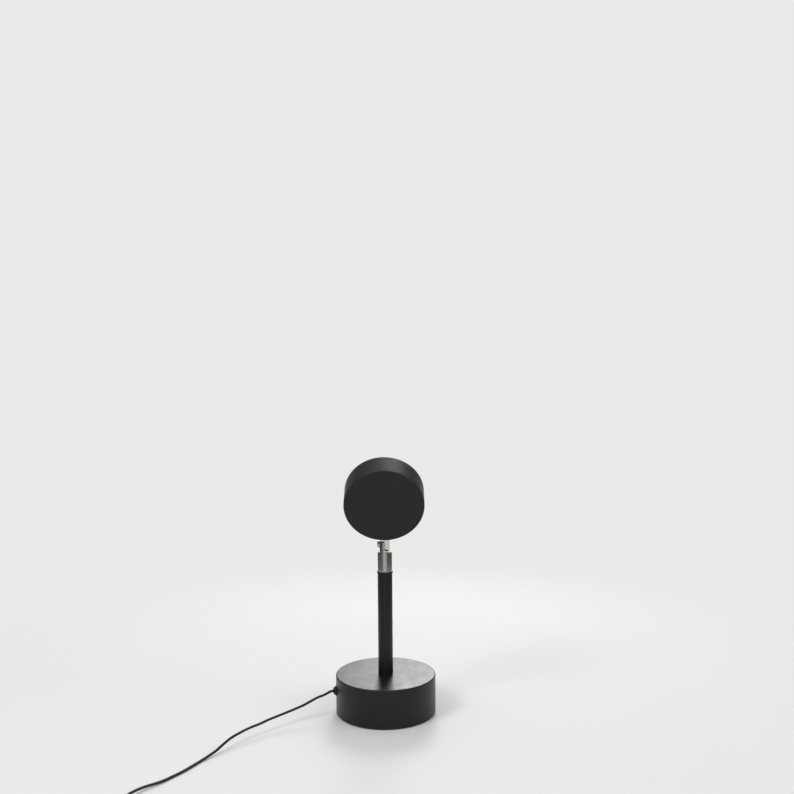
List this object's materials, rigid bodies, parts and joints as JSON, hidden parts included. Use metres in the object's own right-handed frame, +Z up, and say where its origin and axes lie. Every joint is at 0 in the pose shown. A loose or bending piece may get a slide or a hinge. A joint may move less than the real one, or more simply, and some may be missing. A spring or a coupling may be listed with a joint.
{
  "type": "sunset projection lamp",
  "caption": "Table lamp that projects a glowing disc: weighted round base, slim pole, swivel and tilt knuckle, drum head with a convex amber lens, and a USB cord with a switch.",
  "frame": {"origin": "centre of the base's underside, on the table", "axes": "+Z up along the pole, +Y the way the head shines, +X to the right as seen from behind the lamp"},
  "size_m": [0.2782, 0.3377, 0.2659],
  "materials": {
    "black_coat": "fine satin black powder coat on aluminium",
    "plated_steel": "zinc plated steel",
    "dark_steel": "blackened steel",
    "cast_ballast": "rough grey cast iron",
    "brass_thread": "turned and threaded brass",
    "bright_nickel": "bright nickel plate, turned marks",
    "bare_aluminium": "bare extruded aluminium",
    "foam_pad": "matt black foam rubber",
    "black_rubber": "matt black rubber",
    "cord_sheath": "black soft cord sheath",
    "wire_sheath": "red wire sheath",
    "black_plastic": "fine textured black plastic",
    "button_plastic": "polished black plastic",
    "white_bearing_plastic": "white plastic",
    "green_board": "green board lacquer",
    "white_board": "white board lacquer on aluminium",
    "led_phosphor": "yellow phosphor under clear resin",
    "bright_reflector": "bright metallised plastic",
    "amber_glass": "polished glass with an amber coating",
    "plug_steel": "bright nickel plated steel sheet",
    "gold_contact": "gold plated contact"
  },
  "bodies": {
    "stand": {"base_shell": "black_coat", "base_plate": "plated_steel", "base_pad": "foam_pad", "ballast_weight": "cast_ballast", "plate_screws": "plated_steel", "cable_gland": "black_rubber", "cord_stop": "plated_steel", "stand_lead": "cord_sheath", "pole_nipple": "brass_thread", "pole_washer": "plated_steel", "pole_nut": "plated_steel", "pole_tube": "black_coat", "pole_collar": "black_coat", "swivel_stud": "brass_thread", "swivel_washer": "white_bearing_plastic", "cord_run": "cord_sheath", "cord_coil": "cord_sheath", "cord_tail": "cord_sheath", "plug_lead": "cord_sheath", "switch_base": "black_plastic", "switch_cover": "black_plastic", "switch_board": "green_board", "switch_module": "black_plastic", "switch_wires": "wire_sheath", "plug_grip": "black_plastic", "plug_shell": "plug_steel", "plug_tongue": "white_bearing_plastic", "plug_contacts": "gold_contact"},
    "swivel": {"knuckle_lower": "bright_nickel", "swivel_set_screw": "dark_steel", "hinge_screw": "bright_nickel", "hinge_washer": "plated_steel", "knuckle_wires": "wire_sheath"},
    "head": {"knuckle_upper": "bright_nickel", "neck_stud": "brass_thread", "neck_washer": "plated_steel", "neck_nut": "plated_steel", "head_shell": "black_coat", "heat_sink": "bare_aluminium", "sink_screws": "plated_steel", "led_board": "white_board", "led_chip": "led_phosphor", "board_screws": "plated_steel", "head_wires": "wire_sheath", "reflector": "bright_reflector", "lens_gasket": "black_rubber", "lens": "amber_glass", "front_ring": "black_coat"},
    "button": {"switch_button": "button_plastic"}
  },
  "joints": [
    {"name": "head_swivel", "type": "hinge", "parent": "stand", "child": "swivel", "pos_m": [0, 0, 0.1469], "axis": [0, 0, 1], "range_deg": [-165, 165], "deforming": ["knuckle_wires"]},
    {"name": "head_tilt", "type": "hinge", "parent": "swivel", "child": "head", "pos_m": [0, 0, 0.17395], "axis": [1, 0, 0], "range_deg": [-112, 68], "deforming": ["knuckle_wires"]},
    {"name": "switch_press", "type": "slide", "parent": "stand", "child": "button", "axis": [0, 0, -1], "range_m": [0, 0.0012], "stiffness_N_per_m": 800}
  ]
}
